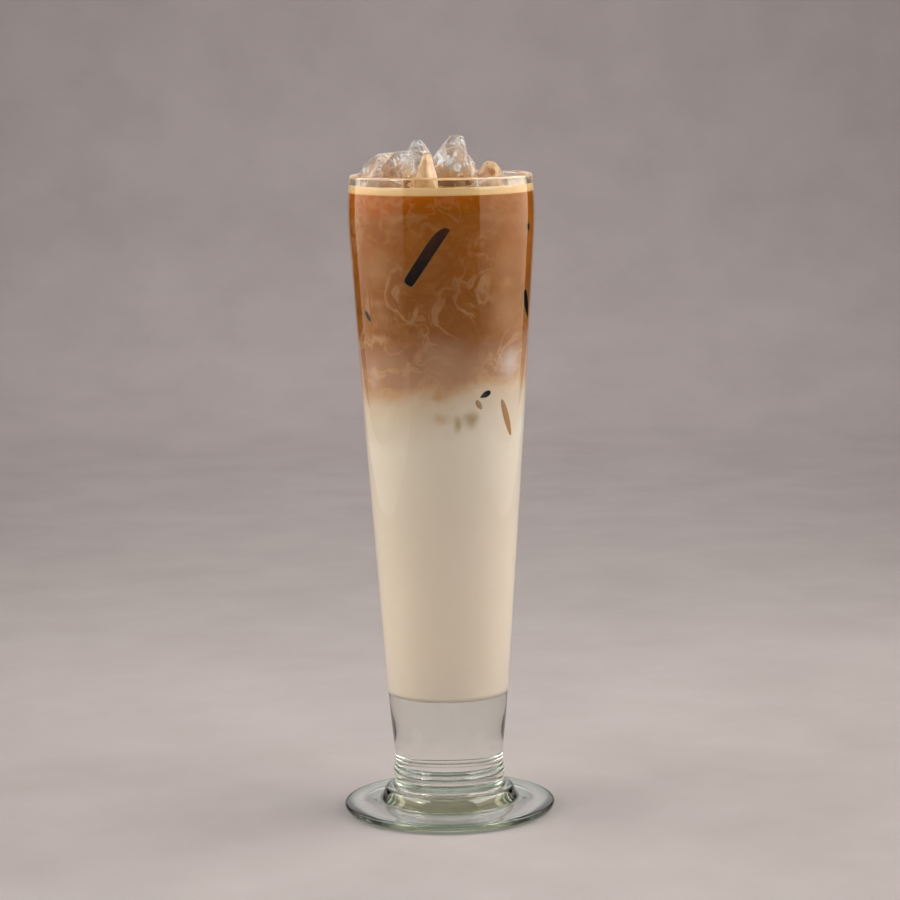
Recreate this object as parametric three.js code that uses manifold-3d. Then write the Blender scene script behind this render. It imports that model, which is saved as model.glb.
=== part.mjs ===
// An iced latte in a tall footed glass: milk below, coffee above it, a thin foam, and ice standing out.
// Millimetres, +Z up. The foot's underside lies on z = 0, the glass's axis is Z, and the front faces -Y.

import * as THREE from 'three';
import { ConvexGeometry } from 'three/addons/geometries/ConvexGeometry.js';
import { mergeVertices } from 'three/addons/utils/BufferGeometryUtils.js';
import Module from 'manifold-3d';

// The glass, outside
const GLASS_HEIGHT = 235;
const BRIM_RADIUS = 33.8;
const BRIM_HEIGHT = 221;
const BRIM_FALL = 0.0034;
const SHOULDER_HEIGHT = 208;
const TAPER_BULGE = 0.26;
const BASE_HEIGHT = 39;
const BASE_RADIUS = 21.75;
const BASE_TAPER = 0.07;
const BASE_HANDLE = 9;
const WAIST_HEIGHT = 17.4;
const WAIST_RADIUS = 19.9;
const WAIST_HANDLE = 6;

// The glass, inside: a thin wall over a heavy solid base
const WALL_AT_RIM = 2.2;
const WALL_AT_BASE = 2.7;
const FLOOR_HEIGHT = 43.9;
const FLOOR_CORNER = 2.4;
const LIP_DROP = 1.1;

// The foot: two fine rings under the waist, each lower one a step wider, then a neck, a round-shouldered
// collar and a thin disc
const RING_COUNT = 2;
const RING_PITCH = 1.8;
const RING_RELIEF = 0.35;
const RING_STEP = 0.3;
const RING_FLAT = [0.15, 0.85];
const NECK_RADIUS = 20.2;
const NECK_FOOT_HEIGHT = 8.7;
const NECK_FILLET = 1.7;
const COLLAR_RADIUS = 24.9;
const COLLAR_LEAN = 0.6;
const COLLAR_FOOT_HEIGHT = 4.2;
const COLLAR_FILLET = 2.4;
const DISC_RADIUS = 38.95;
const DISC_WIDEST_HEIGHT = 2;
const DISC_TOP_INNER = 3.4;
const DISC_TOP_OUTER = 3.1;
const DISC_ROUND = 2;
const REST_OUTER = 35;
const REST_INNER = 27;
const PUNT_HEIGHT = 5;
const PUNT_FULLNESS = 0.62;

// The drink: levels from the table, and the fit that keeps its pieces clear of the glass and each other
const DRINK_LEVEL = 230.4;
const FOAM_THICKNESS = 1.9;
const SEAM_HEIGHT = 153;
const SEAM_TILT = 0.12;
const SEAM_WAVE = 1.8;
const SEAM_LOBES = 3;
const SEAM_MARGIN = 20;
const FIT = 0.3;

// Steps round the axis and along the curves
const SEGMENTS = 48;
const SEAM_STEPS = 10;
const WALL_STEPS = 10;
const BRIM_STEPS = 5;
const CURVE_STEPS = 6;
const SMALL_CURVE_STEPS = 3;
const WELD = 1e-4;
const RANDOM_FACTOR = 16807;
const RANDOM_MODULUS = 2147483647;

// The ice that stands out of the foam. Each lump has a floor in the coffee, a shoulder near the rim and
// a crown: centre and reach are its middle and half width in X and Y, and the crown has its own.
// The crown climbs to the right by its lean.
const ICE = [
  { name: 'ice_left', seed: 11, corners: 7, floor: 216, shoulder: 237, crown: 243.6, lean: 0.13,
    centre: [-19.4, -4.6], reach: [12.2, 13.4], crownShift: [2.6, 1.2], crownReach: [8.6, 9.4] },
  { name: 'ice_dome', seed: 23, corners: 7, floor: 219, shoulder: 241, crown: 247, lean: 0,
    centre: [-7.9, 14.2], reach: [7, 7.2], crownShift: [0.2, -0.6], crownReach: [3.8, 3.8] },
  { name: 'ice_coated', seed: 37, corners: 7, floor: 221, shoulder: 234.8, crown: 243.6, lean: 0,
    centre: [-4.9, -15.6], reach: [5, 6.6], crownShift: [-0.2, 1.2], crownReach: [2, 2.6] },
  { name: 'ice_peak', seed: 41, corners: 7, floor: 216, shoulder: 241.4, crown: 249, lean: 0.1,
    centre: [3.9, 1.2], reach: [9, 9.8], crownShift: [1.6, 0.4], crownReach: [3.2, 4] },
  { name: 'ice_right', seed: 59, corners: 7, floor: 221, shoulder: 235, crown: 239.8, lean: -0.06,
    centre: [18.4, -5.2], reach: [6.6, 6.6], crownShift: [-0.9, 0.4], crownReach: [3, 3.4] },
  { name: 'ice_back_left', seed: 67, corners: 7, floor: 220, shoulder: 235.4, crown: 240.8, lean: 0,
    centre: [-20.6, 14.8], reach: [5.4, 5.6], crownShift: [0.8, -0.8], crownReach: [3, 3.4] },
  { name: 'ice_back', seed: 73, corners: 7, floor: 217, shoulder: 235, crown: 241, lean: 0,
    centre: [7.4, 20], reach: [8.6, 8], crownShift: [-0.6, -1], crownReach: [5.2, 4.6] },
  { name: 'ice_back_right', seed: 83, corners: 7, floor: 219, shoulder: 232, crown: 235.6, lean: 0,
    centre: [21.4, 10], reach: [7, 8], crownShift: [-0.6, -0.4], crownReach: [4.2, 4.8] },
];
const ICE_UNEVENNESS = 0.2;
const ICE_TURN = 0.9;
const ICE_TILT = 2;
const ICE_FLOOR_SHARE = 0.7;
const ICE_SOCKET_FITS = 2.6;

const FINISHES = {
  glass: { color: 0xdfe8e2, roughness: 0.03 },
  milk: { color: 0xe9dfcd, roughness: 0.4 },
  coffee: { color: 0x8b4f1c, roughness: 0.3 },
  foam: { color: 0xdcb988, roughness: 0.6 },
  ice: { color: 0xe3e6e6, roughness: 0.08 },
};

const wasm = await Module();
wasm.setup();

// Helpers for closed meshes

function weld(geometry) {
  geometry.deleteAttribute('normal');
  geometry.deleteAttribute('uv');
  const welded = mergeVertices(geometry, WELD);
  const index = welded.index.array;
  const kept = [];
  for (let i = 0; i < index.length; i += 3) {
    const corners = new Set([index[i], index[i + 1], index[i + 2]]);
    if (corners.size === 3) {
      kept.push(...corners);
    }
  }
  welded.setIndex(kept);
  return welded;
}

function toSolid(geometry) {
  const welded = weld(geometry);
  const mesh = new wasm.Mesh({
    numProp: 3,
    vertProperties: new Float32Array(welded.attributes.position.array),
    triVerts: new Uint32Array(welded.index.array),
  });
  return new wasm.Manifold(mesh);
}

function toGeometry(solid) {
  const mesh = solid.getMesh();
  const geometry = new THREE.BufferGeometry();
  geometry.setAttribute('position', new THREE.BufferAttribute(mesh.vertProperties, mesh.numProp));
  geometry.setIndex(new THREE.BufferAttribute(mesh.triVerts, 1));
  return geometry;
}

function turned(outline) {
  const geometry = new THREE.LatheGeometry(outline, SEGMENTS);
  geometry.rotateX(Math.PI / 2);
  return weld(geometry);
}

function point(radius, height) {
  return new THREE.Vector2(radius, height);
}

function bend(from, corner, to, steps) {
  return new THREE.QuadraticBezierCurve(from, corner, to).getPoints(steps);
}

function seededRandom(seed) {
  let state = seed;
  return () => {
    state = (state * RANDOM_FACTOR) % RANDOM_MODULUS;
    return state / RANDOM_MODULUS;
  };
}

// The glass

function outerRadius(height) {
  if (height >= SHOULDER_HEIGHT) {
    return BRIM_RADIUS - BRIM_FALL * (height - BRIM_HEIGHT) ** 2;
  }
  const shoulderRadius = BRIM_RADIUS - BRIM_FALL * (SHOULDER_HEIGHT - BRIM_HEIGHT) ** 2;
  const along = (height - BASE_HEIGHT) / (SHOULDER_HEIGHT - BASE_HEIGHT);
  const straight = BASE_RADIUS + (shoulderRadius - BASE_RADIUS) * along;
  return straight + TAPER_BULGE * (1 - (2 * along - 1) ** 2);
}

function innerRadius(height) {
  const along = (height - FLOOR_HEIGHT) / (GLASS_HEIGHT - FLOOR_HEIGHT);
  return outerRadius(height) - THREE.MathUtils.lerp(WALL_AT_BASE, WALL_AT_RIM, along);
}

function heights(from, to, steps) {
  return Array.from({ length: steps + 1 }, (_, i) => THREE.MathUtils.lerp(from, to, i / steps));
}

function undersideOutline() {
  const puntTop = point(0, PUNT_HEIGHT);
  const puntTurn = point(REST_INNER * PUNT_FULLNESS, PUNT_HEIGHT);
  const punt = bend(puntTop, puntTurn, point(REST_INNER, 0), CURVE_STEPS);
  const widest = point(DISC_RADIUS, DISC_WIDEST_HEIGHT);
  const edge = bend(point(REST_OUTER, 0), point(DISC_RADIUS, 0), widest, SMALL_CURVE_STEPS);
  return [...punt, ...edge];
}

function footOutline() {
  const widest = point(DISC_RADIUS, DISC_WIDEST_HEIGHT);
  const discRim = point(DISC_RADIUS - DISC_ROUND, DISC_TOP_OUTER);
  const overEdge = bend(widest, point(DISC_RADIUS, DISC_TOP_OUTER), discRim, SMALL_CURVE_STEPS);
  const collarFoot = point(COLLAR_RADIUS, COLLAR_FOOT_HEIGHT);
  const filletFoot = point(COLLAR_RADIUS + COLLAR_FILLET, DISC_TOP_INNER);
  const fillet = bend(filletFoot, point(COLLAR_RADIUS, DISC_TOP_INNER), collarFoot, SMALL_CURVE_STEPS);
  const neckFoot = point(NECK_RADIUS + NECK_FILLET, NECK_FOOT_HEIGHT);
  const shoulderTurn = point(COLLAR_RADIUS - COLLAR_LEAN, NECK_FOOT_HEIGHT);
  const shoulder = bend(collarFoot, shoulderTurn, neckFoot, CURVE_STEPS);
  const neck = point(NECK_RADIUS, NECK_FOOT_HEIGHT + NECK_FILLET);
  const hollow = bend(neckFoot, point(NECK_RADIUS, NECK_FOOT_HEIGHT), neck, SMALL_CURVE_STEPS);
  const neckTop = point(WAIST_RADIUS + RING_COUNT * RING_STEP, WAIST_HEIGHT - RING_COUNT * RING_PITCH);
  return [
    ...overEdge.slice(1),
    ...fillet,
    ...shoulder.slice(1),
    ...hollow.slice(1),
    neckTop,
    ...ringsOutline(neckTop.y),
  ];
}

function ringsOutline(foot) {
  const outline = [];
  for (let ring = 0; ring < RING_COUNT; ring += 1) {
    const low = foot + ring * RING_PITCH;
    const radius = WAIST_RADIUS + RING_STEP * (RING_COUNT - ring - 1);
    for (const along of RING_FLAT) {
      outline.push(point(radius + RING_STEP / 2 + RING_RELIEF, low + RING_PITCH * along));
    }
    outline.push(point(radius, low + RING_PITCH));
  }
  return outline;
}

function bowlOutline() {
  const base = new THREE.CubicBezierCurve(
    point(WAIST_RADIUS, WAIST_HEIGHT),
    point(WAIST_RADIUS, WAIST_HEIGHT + WAIST_HANDLE),
    point(BASE_RADIUS - BASE_TAPER * BASE_HANDLE, BASE_HEIGHT - BASE_HANDLE),
    point(BASE_RADIUS, BASE_HEIGHT),
  ).getPoints(CURVE_STEPS);
  const lipFoot = GLASS_HEIGHT - LIP_DROP;
  const wall = heights(BASE_HEIGHT, SHOULDER_HEIGHT, WALL_STEPS).map((z) => point(outerRadius(z), z));
  const brim = heights(SHOULDER_HEIGHT, lipFoot, BRIM_STEPS).map((z) => point(outerRadius(z), z));
  return [...base.slice(1), ...wall.slice(1), ...brim.slice(1)];
}

function lipOutline() {
  const low = GLASS_HEIGHT - LIP_DROP;
  const outer = outerRadius(low);
  const inner = innerRadius(low);
  const lip = new THREE.EllipseCurve((outer + inner) / 2, low, (outer - inner) / 2, LIP_DROP, 0, Math.PI);
  return lip.getPoints(CURVE_STEPS).slice(1);
}

// The inside of the bowl from the top down to the axis, drawn back by a clearance for what fills it
function insideOutline(top, clearance, steps) {
  const floor = FLOOR_HEIGHT + clearance;
  const cornerTop = FLOOR_HEIGHT + FLOOR_CORNER;
  const side = innerRadius(cornerTop) - clearance;
  const wall = heights(top, cornerTop, steps).map((z) => point(innerRadius(z) - clearance, z));
  const cornerFoot = point(side - FLOOR_CORNER, floor);
  const corner = bend(point(side, cornerTop), point(side, floor), cornerFoot, SMALL_CURVE_STEPS);
  return [...wall, ...corner.slice(1), point(0, floor)];
}

function glassGeometry() {
  const inside = insideOutline(GLASS_HEIGHT - LIP_DROP, 0, WALL_STEPS + BRIM_STEPS);
  return turned([
    ...undersideOutline(),
    ...footOutline(),
    ...bowlOutline(),
    ...lipOutline(),
    ...inside.slice(1),
  ]);
}

// The ice

function iceRing(lump, random, height, centre, reach, lean) {
  const ring = [];
  for (let corner = 0; corner < lump.corners; corner += 1) {
    const angle = ((corner + ICE_TURN * random()) / lump.corners) * 2 * Math.PI;
    const stretch = 1 - ICE_UNEVENNESS * random();
    const across = reach[0] * stretch * Math.cos(angle);
    const back = reach[1] * stretch * Math.sin(angle);
    const rise = lean * across - ICE_TILT * random();
    ring.push(new THREE.Vector3(centre[0] + across, centre[1] + back, height + rise));
  }
  return ring;
}

function iceGeometry(lump) {
  const random = seededRandom(lump.seed);
  const middle = (lump.floor + lump.shoulder) / 2;
  const crownCentre = lump.centre.map((value, axis) => value + lump.crownShift[axis]);
  const floorReach = lump.reach.map((value) => value * ICE_FLOOR_SHARE);
  return new ConvexGeometry([
    ...iceRing(lump, random, lump.floor, lump.centre, floorReach, 0),
    ...iceRing(lump, random, middle, lump.centre, lump.reach, 0),
    ...iceRing(lump, random, lump.shoulder, lump.centre, lump.reach, 0),
    ...iceRing(lump, random, lump.crown, crownCentre, lump.crownReach, lump.lean),
  ]);
}

// A lump grown by the fit all round, to cut its place in the drink
function iceSocket(lump) {
  const geometry = iceGeometry(lump);
  geometry.computeBoundingBox();
  const middle = geometry.boundingBox.getCenter(new THREE.Vector3());
  const size = geometry.boundingBox.getSize(new THREE.Vector3());
  const growth = size.toArray().map((length) => 1 + ICE_SOCKET_FITS * FIT / length);
  geometry.translate(-middle.x, -middle.y, -middle.z);
  geometry.scale(...growth);
  geometry.translate(middle.x, middle.y, middle.z);
  return toSolid(geometry);
}

// The drink

function seamHeight(x, y) {
  const wave = Math.sin(SEAM_LOBES * Math.atan2(y, x)) * Math.hypot(x, y) / BASE_RADIUS;
  return SEAM_HEIGHT + SEAM_TILT * x + SEAM_WAVE * wave;
}

// A block that holds all above the seam between coffee and milk, moved down by a drop
function aboveSeam(drop) {
  const side = 2 * BRIM_RADIUS;
  const block = new THREE.BoxGeometry(side, side, GLASS_HEIGHT, SEAM_STEPS, SEAM_STEPS, 1);
  const position = block.attributes.position;
  for (let i = 0; i < position.count; i += 1) {
    const seam = seamHeight(position.getX(i), position.getY(i)) - drop;
    position.setZ(i, position.getZ(i) < 0 ? seam : GLASS_HEIGHT);
  }
  return toSolid(block);
}

function filling(bottom, top, steps) {
  const outline = heights(bottom, top, steps).map((z) => point(innerRadius(z) - FIT, z));
  return toSolid(turned([point(0, bottom), ...outline, point(0, top)]));
}

const foamBottom = DRINK_LEVEL - FOAM_THICKNESS;
const sockets = ICE.map(iceSocket);

function clearOfIce(solid) {
  return sockets.reduce((rest, socket) => rest.subtract(socket), solid);
}

function milkGeometry() {
  const top = SEAM_HEIGHT + SEAM_MARGIN;
  const outline = insideOutline(top, FIT, CURVE_STEPS).reverse();
  const column = toSolid(turned([...outline, point(0, top)]));
  return toGeometry(column.subtract(aboveSeam(FIT)));
}

function coffeeGeometry() {
  const column = filling(SEAM_HEIGHT - SEAM_MARGIN, foamBottom - FIT, WALL_STEPS);
  return toGeometry(clearOfIce(column.intersect(aboveSeam(0))));
}

function foamGeometry() {
  return toGeometry(clearOfIce(filling(foamBottom, DRINK_LEVEL, 1)));
}

// The whole drink

const latte = new THREE.Group();

function addPiece(name, geometry, finish) {
  const mesh = new THREE.Mesh(geometry, new THREE.MeshStandardMaterial(finish));
  mesh.name = name;
  latte.add(mesh);
}

addPiece('glass', glassGeometry(), FINISHES.glass);
addPiece('milk', milkGeometry(), FINISHES.milk);
addPiece('coffee', coffeeGeometry(), FINISHES.coffee);
addPiece('foam', foamGeometry(), FINISHES.foam);
for (const lump of ICE) {
  addPiece(lump.name, weld(iceGeometry(lump)), FINISHES.ice);
}

export default latte;
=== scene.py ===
"""Dresses an iced latte in a tall footed glass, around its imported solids.

Sizes are written in millimetres and turned into metres where a mesh is made. The glass's axis is Z, its foot
stands on z = 0 and its front faces -Y.
"""

from __future__ import annotations

import logging
import math
import random
from dataclasses import dataclass, field, replace
from enum import Enum
from typing import Any, Callable, Sequence

import bmesh
import bpy
import numpy as np
from bmesh.types import BMEdge, BMesh
from bpy.types import ID, Material, Mesh, Node, NodeSocket, Object, World
from mathutils import Euler, Matrix, Vector, noise


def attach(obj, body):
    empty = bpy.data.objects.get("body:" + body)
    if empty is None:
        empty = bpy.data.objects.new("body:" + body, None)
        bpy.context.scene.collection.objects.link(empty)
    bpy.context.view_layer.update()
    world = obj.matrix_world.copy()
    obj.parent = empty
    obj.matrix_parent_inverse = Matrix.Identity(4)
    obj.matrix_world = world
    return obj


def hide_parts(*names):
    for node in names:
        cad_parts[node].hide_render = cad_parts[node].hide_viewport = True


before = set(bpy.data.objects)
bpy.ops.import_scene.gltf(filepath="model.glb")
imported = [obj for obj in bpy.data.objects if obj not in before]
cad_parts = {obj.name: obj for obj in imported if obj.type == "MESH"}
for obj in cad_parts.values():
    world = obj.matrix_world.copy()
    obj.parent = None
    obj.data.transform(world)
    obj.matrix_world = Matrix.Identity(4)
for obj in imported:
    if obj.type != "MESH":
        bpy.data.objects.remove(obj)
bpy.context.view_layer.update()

MM = 0.001
BODY = "root"
IMAGE_PIXELS = 900
LOG = logging.getLogger("latte")

Span = tuple[float, float]
Outline = list[Span]
Colour = tuple[float, float, float, float]


class Slot(Enum):
    """The record's material slots."""

    GLASS = "glass"
    MILK = "milk"
    COFFEE = "coffee"
    FOAM = "foam"
    ICE = "ice"


def linear(hex_code: str) -> Colour:
    """Turns an sRGB hex colour into linear light.

    Args:
        hex_code: Six hex digits with a leading hash.

    Returns:
        Red, green, blue and alpha from 0 to 1.
    """
    parts = [int(hex_code[i:i + 2], 16) / 255 for i in (1, 3, 5)]
    red, green, blue = (p / 12.92 if p <= 0.04045 else ((p + 0.055) / 1.055) ** 2.4 for p in parts)
    return red, green, blue, 1.0


def set_stops(ramp: Any, stops: Sequence[tuple[float, str | Colour]]) -> None:
    """Gives a colour ramp node its stops.

    Args:
        ramp: The colour ramp node.
        stops: Positions from 0 to 1 with their colours.
    """
    elements = ramp.color_ramp.elements
    while len(elements) < len(stops):
        elements.new(0.5)
    for element, (position, colour) in zip(elements, stops):
        element.position = position
        element.color = linear(colour) if isinstance(colour, str) else colour


@dataclass
class Nodes:
    """The nodes of a new material or of the room's light, which start from the place of a point."""

    owner: Material | World

    def __post_init__(self) -> None:
        """Clears the tree and reads where a point lies, as a whole and split."""
        self.owner.use_nodes = True
        self.tree = self.owner.node_tree
        self.tree.nodes.clear()
        self.point = self.add("TexCoord")
        self.place = self.point.outputs["Object"]
        self.x, self.y, self.height = self.add("SeparateXYZ", {"Vector": self.place}).outputs

    def add(self, kind: str, settings: dict | None = None) -> Node:
        """Adds a node with its settings and links.

        Args:
            kind: The node's class, without the words that all shader nodes share.
            settings: By property name, or by socket name or number: a value, an sRGB hex colour, a socket to
                link from, or a node, which is linked from the first output that it has in use. The key
                "stops" holds a colour ramp's positions and colours.

        Returns:
            The new node.
        """
        node = self.tree.nodes.new("ShaderNode" + kind)
        for key, value in (settings or {}).items():
            if isinstance(value, Node):
                value = next(socket for socket in value.outputs if socket.enabled)
            if isinstance(value, NodeSocket):
                self.tree.links.new(value, node.inputs[key])
            elif key == "stops":
                set_stops(node, value)
            elif isinstance(key, str) and hasattr(node, key):
                setattr(node, key, value)
            else:
                node.inputs[key].default_value = linear(value) if isinstance(value, str) else value
        return node


def axis_distance(nodes: Nodes) -> Any:
    """Works out how far a point lies from the glass's axis.

    Args:
        nodes: The material's nodes.

    Returns:
        The node with the distance in metres.
    """
    level = nodes.add("VectorMath", {"operation": "MULTIPLY", 0: nodes.place, 1: (1.0, 1.0, 0.0)})
    return nodes.add("VectorMath", {"operation": "LENGTH", 0: level})


def swayed_height(nodes: Nodes, size: float, sway: float, twist: float = 0.0) -> Any:
    """Moves a point's height up and down by a noise.

    Args:
        nodes: The material's nodes.
        size: How long the noise's waves are.
        sway: How far the height moves at most.
        twist: How much the waves are distorted.

    Returns:
        The node with the height in metres.
    """
    patch = nodes.add("TexNoise", {
        "Scale": 1 / (size * MM), "Detail": 3.0, "Distortion": twist, "Vector": nodes.place,
    })
    shift = nodes.add("MapRange", {
        "From Min": 0.3, "From Max": 0.7, "To Min": -sway * MM, "To Max": sway * MM, "Value": patch,
    })
    return nodes.add("Math", {"operation": "ADD", 0: nodes.height, 1: shift})


def cell_relief(nodes: Nodes, size: float, strength: float, depth: float,
                feature: str = "SMOOTH_F1") -> Any:
    """Raises a relief of round cells, such as bubbles.

    Args:
        nodes: The material's nodes.
        size: How wide a cell is.
        strength: How much of the relief shows.
        depth: How deep it is.
        feature: Which distance draws the cells.

    Returns:
        The node with the bent normal.
    """
    cells = nodes.add("TexVoronoi", {"Scale": 1 / (size * MM), "feature": feature, "Vector": nodes.place})
    return nodes.add("Bump", {"Strength": strength, "Distance": depth * MM, "Height": cells})


def into_scene(name: str, data: ID) -> Object:
    """Makes an object of a mesh, light or camera and links it to the scene."""
    made = bpy.data.objects.new(name, data)
    bpy.context.scene.collection.objects.link(made)
    return made


def place_mesh(name: str, mesh: Mesh, material: Material,
               sharp_deg: float) -> Object:
    """Gives a mesh its finish and soft shading, and puts it into the scene.

    Args:
        name: The piece's name.
        mesh: Its mesh, in metres.
        material: Its finish.
        sharp_deg: Edges that turn by more than this stay sharp.

    Returns:
        The new object.
    """
    mesh.materials.append(material)
    mesh.polygons.foreach_set("use_smooth", [True] * len(mesh.polygons))
    mesh.set_sharp_from_angle(angle=math.radians(sharp_deg))
    return into_scene(name, mesh)


@dataclass
class MeshParts:
    """Vertices in millimetres and faces of one piece, which grow as its parts are added."""

    vertices: list[Sequence[float]] = field(default_factory=list)
    faces: list[tuple[int, ...]] = field(default_factory=list)

    def add(self, vertices: Sequence[Sequence[float]], faces: Sequence[tuple[int, ...]]) -> None:
        """Adds a part's vertices and faces.

        Args:
            vertices: Points in millimetres.
            faces: Vertex numbers within the part.
        """
        start = len(self.vertices)
        self.vertices.extend(vertices)
        self.faces.extend(tuple(start + i for i in face) for face in faces)

    def to_object(self, name: str, material: Material, sharp_deg: float = 40.0) -> Object:
        """Makes a Blender object in metres.

        Args:
            name: The piece's name.
            material: Its finish.
            sharp_deg: Edges that turn by more than this stay sharp.

        Returns:
            The new object.
        """
        mesh = bpy.data.meshes.new(name)
        mesh.from_pydata([[c * MM for c in vertex] for vertex in self.vertices], [], self.faces)
        return place_mesh(name, mesh, material, sharp_deg)


def rings_mesh(rings: Sequence[np.ndarray], capped: bool = True) -> MeshParts:
    """Joins closed rings of points into one skin.

    Args:
        rings: Arrays of points with three columns, all of one length, from the first end to the last.
        capped: Close both ends with fans to the axis.

    Returns:
        The skin, its faces outward if the rings turn left and climb on the outside.
    """
    count = len(rings[0])
    parts = MeshParts([tuple(p) for ring in rings for p in ring])
    for row in range(len(rings) - 1):
        for i in range(count):
            a, b = row * count + i, row * count + (i + 1) % count
            parts.faces.append((a, b, b + count, a + count))
    for row in (0, len(rings) - 1) if capped else ():
        hub = len(parts.vertices)
        parts.vertices.append((0.0, 0.0, float(rings[row].mean(axis=0)[2])))
        for i in range(count):
            a, b = row * count + i, row * count + (i + 1) % count
            parts.faces.append((a, b, hub) if row else (b, a, hub))
    return parts


def circle(radius: float, height: float, segments: int) -> np.ndarray:
    """A level ring of points about the axis, turning left."""
    turn = np.linspace(0, 2 * math.pi, segments, endpoint=False)
    return np.column_stack([radius * np.cos(turn), radius * np.sin(turn), np.full(segments, height)])


def bend(start: tuple, corner: tuple, end: tuple, steps: int) -> Outline:
    """Points on a curve that leaves start and reaches end, both towards the corner.

    Args:
        start: First point as radius and height.
        corner: The point that pulls the curve.
        end: Last point.
        steps: How many steps there are between the ends.

    Returns:
        The curve's points, both ends among them.
    """
    points = []
    for i in range(steps + 1):
        t = i / steps
        points.append(tuple((1 - t) ** 2 * a + 2 * t * (1 - t) * b + t * t * c
                            for a, b, c in zip(start, corner, end)))
    return points


def dress(piece: Object, slot: Slot, *nodes: str) -> Object:
    """Rides a piece on the part's body, hides the solids that it stands for and reports it.

    Args:
        piece: The finished piece.
        slot: The record's material slot; not used.
        nodes: Solids that the piece stands for.

    Returns:
        The same piece.
    """
    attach(piece, BODY)
    if nodes:
        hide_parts(*nodes)
    stands_for = f", for {', '.join(nodes)}" if nodes else ""
    LOG.info("%s: %d faces%s", piece.name, len(piece.data.polygons), stands_for)
    return piece


@dataclass(frozen=True)
class PressedGlass:
    """Soda-lime glass, pressed and fire-polished: clear, and green in the foot where light runs far."""

    ior: float = 1.52
    roughness: float = 0.0
    clear: str = "#ffffff"
    edge_tint: str = "#bfe3cc"
    edge_radii: Span = (34.0, 38.0)
    collar_tint: str = "#d3ecdb"
    collar_radii: Span = (20.6, 27.0)
    collar_heights: Span = (3.3, 9.6)
    radius_fade: float = 1.0
    low_fade: float = 0.3
    high_fade: float = 0.5
    body_tint: str = "#d0e2a0"
    absorption_per_m: float = 2.6

    def build(self) -> Material:
        """Makes the material: a smooth clear surface, greener on collar and disc edge, over a green body."""
        nodes = Nodes(bpy.data.materials.new("soda_lime_glass"))
        radius = axis_distance(nodes)
        inner, outer = self.edge_radii
        edge = nodes.add("MapRange", {"From Min": inner * MM, "From Max": outer * MM, "Value": radius})
        rim = nodes.add("Mix", {"data_type": "RGBA", 0: edge, 6: self.clear, 7: self.edge_tint})
        tint = nodes.add("Mix", {
            "data_type": "RGBA", 0: self.on_collar(nodes, radius), 6: rim, 7: self.collar_tint,
        })
        surface = nodes.add("BsdfPrincipled", {
            "Roughness": self.roughness, "IOR": self.ior, "Transmission Weight": 1.0, "Base Color": tint,
        })
        body = nodes.add("VolumeAbsorption", {"Color": self.body_tint, "Density": self.absorption_per_m})
        nodes.add("OutputMaterial", {"Surface": surface, "Volume": body})
        return nodes.owner

    def on_collar(self, nodes: Nodes, radius: Any) -> Any:
        """Works out whether a point lies on the collar.

        Args:
            nodes: The material's nodes.
            radius: The node with the distance from the axis.

        Returns:
            A node that is 1 on the collar and fades to 0 round it.
        """
        inner, outer = self.collar_radii
        low, high = self.collar_heights
        edges = ((radius, inner, inner + self.radius_fade), (radius, outer, outer - self.radius_fade),
                 (nodes.height, low, low + self.low_fade), (nodes.height, high, high - self.high_fade))
        shown, *others = (
            nodes.add("MapRange", {"From Min": start * MM, "From Max": end * MM, "Value": value})
            for value, start, end in edges
        )
        for other in others:
            shown = nodes.add("Math", {"operation": "MULTIPLY", 0: shown, 1: other})
        return shown


@dataclass(frozen=True)
class Blot:
    """A soft patch behind the wall: its place, half sizes, tone and how much of it shows."""

    bearing_deg: float
    height: float
    radius: float
    half_width: float
    half_height: float
    tone: str
    strength: float


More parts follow.
